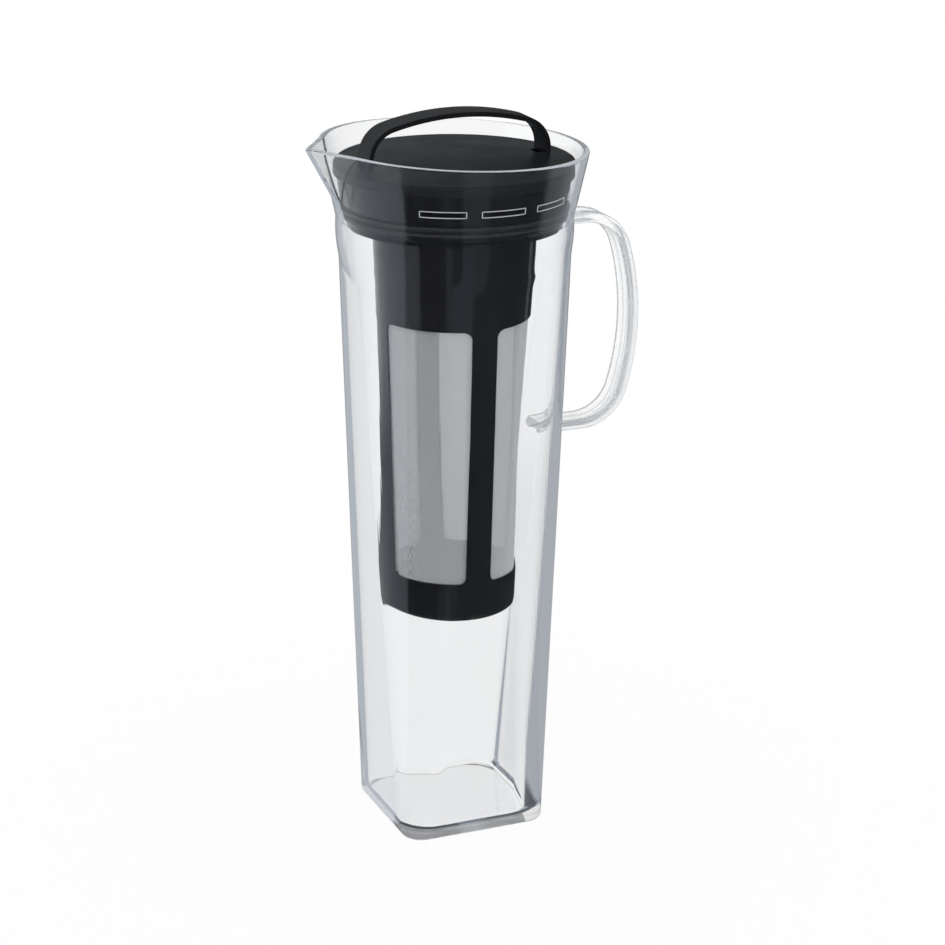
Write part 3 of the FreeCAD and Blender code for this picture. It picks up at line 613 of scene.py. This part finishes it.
def make_slot_lips(wrap, material):
    skirt_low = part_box("neck_seal")[1].z
    skirt_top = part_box("lid_plug")[1].z
    rise = skirt_top - skirt_low
    top_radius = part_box("lid_plug")[1].x
    low_radius = top_radius - SKIRT_TAPER
    piece = grown(
        "slot_lips", slot_lips(wrap), material,
        Low_radius=low_radius, Top_radius=top_radius, Low_height=skirt_low, Top_height=skirt_top,
        Turn=SLOT_TURN - SLOT_PITCH * (SLOT_COUNT - 1) / 2, Count=SLOT_COUNT, Pitch=SLOT_PITCH,
        Arc=SLOT_ARC - 2 * LIP_RADIUS / top_radius, Tall_share=(SLOT_TALL - 2 * LIP_RADIUS) / rise,
        Middle_share=1 - SLOT_MIDDLE / rise, Lip_radius=LIP_RADIUS)
    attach(piece, "lid")


def finish_nodes(finishes):
    """Gives every node of the frame the finish of its slot."""
    for part in frame["record"]["subparts"]:
        mesh = frame["nodes"][part["node"]].data
        mesh.materials.clear()
        mesh.materials.append(finishes[part["material_slot"]])


# ---------------------------------------------------------------- studio

FLOOR_HALF = 6.0
FLOOR_OWN_SHARE = 0.7    # share of its own white in what the floor shows the camera
TENT_RADIUS = 1.6
# What gloss sees round the object, as an azimuth in degrees from -Y towards +X, and a colour: grey cards
# behind, a softbox on the left, the dark room in front and a grey card on the right. First what lies low,
# then what is higher up.
LOW_VIEW = (
    (-180, "#A0A4A8"), (-172, "#BCC0C4"), (-122, "#BCC0C4"), (-118, "#B6BCC6"), (-73, "#B6BCC6"),
    (-71, "#484B50"), (-16, "#484B50"), (-14, "#767C84"), (9, "#767C84"), (12, "#585C61"), (66, "#505458"),
    (72, "#A6AAB0"), (135, "#A6AAB0"), (142, "#6C6E70"), (180, "#A0A4A8"),
)
HIGH_VIEW = (
    (-180, "#92969A"), (-122, "#92969A"), (-118, "#B2B8C2"), (-73, "#B2B8C2"), (-66, "#47494D"),
    (66, "#47494D"), (90, "#46484B"), (142, "#505255"), (180, "#92969A"),
)
# The same for what stands inside the clear walls, whose gloss reaches the room through them.
INNER_VIEW = (
    (-180, "#E0E0E0"), (-152, "#E0E0E0"), (-148, "#D6DCE6"), (-73, "#D6DCE6"), (-71, "#524E4B"),
    (-36, "#524E4B"), (-33, "#AEB4BE"), (-26, "#A0A6B0"), (-24, "#6C7480"), (2, "#6C7480"), (8, "#505458"),
    (40, "#505458"), (44, "#28292A"), (138, "#28292A"), (142, "#BCBCBC"), (180, "#E0E0E0"),
)
NEAR_VIEW = "#2C2E31"    # what they see of the floor close by, in the dark
DARK_END = 420 * MM      # the dark fades from here
LIGHT_START = 600 * MM   # to here
PANES_OUT = 2.5          # a ray that has crossed more clear surfaces than this has been inside the walls
MIRRORED_TWICE = 1.5     # a ray with more gloss bounces than this was mirrored by more than one face
EDGE_VIEW = "#AAB1B9"    # what such a ray sees, or one that went straight through the clear material


def stage_mesh(name, points, faces, material):
    mesh = bpy.data.meshes.new(name)
    mesh.from_pydata(points, [], faces)
    mesh.materials.append(material)
    made = link(bpy.data.objects.new(name, mesh))


def view_ramp(tree, share, view):
    """Colour of a view at a share of the way round."""
    ramp = add(tree, "ShaderNodeValToRGB", {"Fac": share})
    stops = ramp.color_ramp.elements
    while len(stops) < len(view):
        stops.new(0.5)
    for stop, (degrees, colour) in zip(stops, view):
        stop.position = (degrees + 180) / 360
        stop.color = linear(colour)
    return ramp.outputs["Color"]


def stage_material(name, outer_view, unseen):
    """Stage surface that shows its view to rays that have met gloss, and is otherwise the shader that the
    function unseen adds."""
    material, tree = new_material(name)
    material.cycles.emission_sampling = "NONE"
    spot = add(tree, "ShaderNodeTexCoord").outputs["Object"]
    place = add(tree, "ShaderNodeSeparateXYZ", {"Vector": spot}).outputs
    azimuth = maths(tree, "ARCTAN2", place["X"], maths(tree, "MULTIPLY", place["Y"], -1.0))
    share = add(tree, "ShaderNodeMapRange", {
        "Value": azimuth, "From Min": -math.pi, "From Max": math.pi}).outputs["Result"]
    reach = add(tree, "ShaderNodeVectorMath", {0: spot}, operation="LENGTH")
    far = add(tree, "ShaderNodeMapRange", {
        "Value": reach.outputs["Value"], "From Min": DARK_END, "From Max": LIGHT_START})
    within = add(tree, "ShaderNodeMix", {
        "Factor": far.outputs["Result"], "A": linear(NEAR_VIEW),
        "B": view_ramp(tree, share, INNER_VIEW)}, data_type="RGBA")
    ray = add(tree, "ShaderNodeLightPath").outputs
    inner = maths(tree, "GREATER_THAN", ray["Transmission Depth"], PANES_OUT)
    view = add(tree, "ShaderNodeMix", {
        "Factor": inner, "A": view_ramp(tree, share, outer_view), "B": within.outputs["Result"]},
        data_type="RGBA")
    twice = maths(tree, "GREATER_THAN", ray["Glossy Depth"], MIRRORED_TWICE)
    edge = maths(tree, "MAXIMUM", twice, ray["Transparent Depth"])
    view = add(tree, "ShaderNodeMix", {
        "Factor": edge, "A": view.outputs["Result"], "B": linear(EDGE_VIEW)}, data_type="RGBA")
    light = add(tree, "ShaderNodeEmission", {"Color": view.outputs["Result"], "Strength": 1.0})
    both = add(tree, "ShaderNodeMixShader", {
        0: ray["Glossy Depth"], 1: unseen(tree).outputs[0], 2: light.outputs["Emission"]})
    add(tree, "ShaderNodeOutputMaterial", {"Surface": both.outputs["Shader"]})
    return material


def white_floor(tree):
    """White card that shows the camera mostly its own white, so that the object's shadow on it is faint."""
    card = add(tree, "ShaderNodeBsdfDiffuse", {"Color": linear("#FFFFFF")})
    own = add(tree, "ShaderNodeEmission", {"Color": linear("#FFFFFF"), "Strength": 1.0})
    ray = add(tree, "ShaderNodeLightPath").outputs
    seen = maths(tree, "MAXIMUM", ray["Is Camera Ray"], ray["Is Transmission Ray"])
    share = maths(tree, "MULTIPLY", seen, FLOOR_OWN_SHARE)
    return add(tree, "ShaderNodeMixShader", {0: share, 1: card.outputs["BSDF"], 2: own.outputs["Emission"]})


def make_floor():
    material = stage_material("white_floor", LOW_VIEW, white_floor)
    corners = [(x * FLOOR_HALF, y * FLOOR_HALF, 0) for x, y in ((-1, -1), (1, -1), (1, 1), (-1, 1))]
    stage_mesh("floor", corners, [(0, 1, 2, 3)], material)


def make_tent():
    """Tent round the object that only its gloss shows: other rays go through it to the white room."""
    bm = bmesh.new()
    bmesh.ops.create_uvsphere(bm, u_segments=32, v_segments=16, radius=TENT_RADIUS)
    mesh = bpy.data.meshes.new("tent")
    bm.to_mesh(mesh)
    bm.free()
    material = stage_material("tent", HIGH_VIEW, lambda tree: add(tree, "ShaderNodeBsdfTransparent"))
    mesh.materials.append(material)
    tent = link(bpy.data.objects.new("tent", mesh))
    tent.visible_camera = False
    tent.visible_diffuse = False
    tent.visible_shadow = False


def make_world():
    world = bpy.data.worlds.new("white_room")
    world.use_nodes = True
    world.node_tree.nodes.clear()
    light = add(world.node_tree, "ShaderNodeBackground", {"Color": linear("#FFFFFF"), "Strength": 1.0})
    add(world.node_tree, "ShaderNodeOutputWorld", {"Surface": light.outputs["Background"]})
    scene.world = world


# ---------------------------------------------------------------- make it

scene.view_settings.view_transform = "Standard"
place_camera()
make_world()
make_floor()
make_tent()

black_gloss = black_plastic(
    "gloss_polypropylene", "#0A0B0D", "#0E0F11", roughness=0.1, grain_mm=3.0, grain_height_mm=0.004)
black_satin = black_plastic(
    "satin_polypropylene", "#111214", "#17181A", roughness=0.36, grain_mm=0.5, grain_height_mm=0.02)
cloth = woven_polyester()
feet = handle_feet()
clear = clear_acrylic("clear_acrylic", feet, straight_share=0.0)
clear_bar = clear_acrylic("clear_acrylic_bar", feet, straight_share=BAR_STRAIGHT)
finish_nodes({
    "clear_plastic": clear,
    "black_satin": black_satin,
    "black_gloss": black_gloss,
    "seal_rubber": seal_silicone(),
    "filter_mesh": cloth,
})
frame["nodes"]["pitcher_handle"].data.materials[0] = clear_bar
make_clear_wall(clear)
cone = wrap_on_cone()
make_cloth(cone, cloth)
# the slot lips are coloured with a painted highlight
make_slot_lips(cone, painted_highlight_lip())
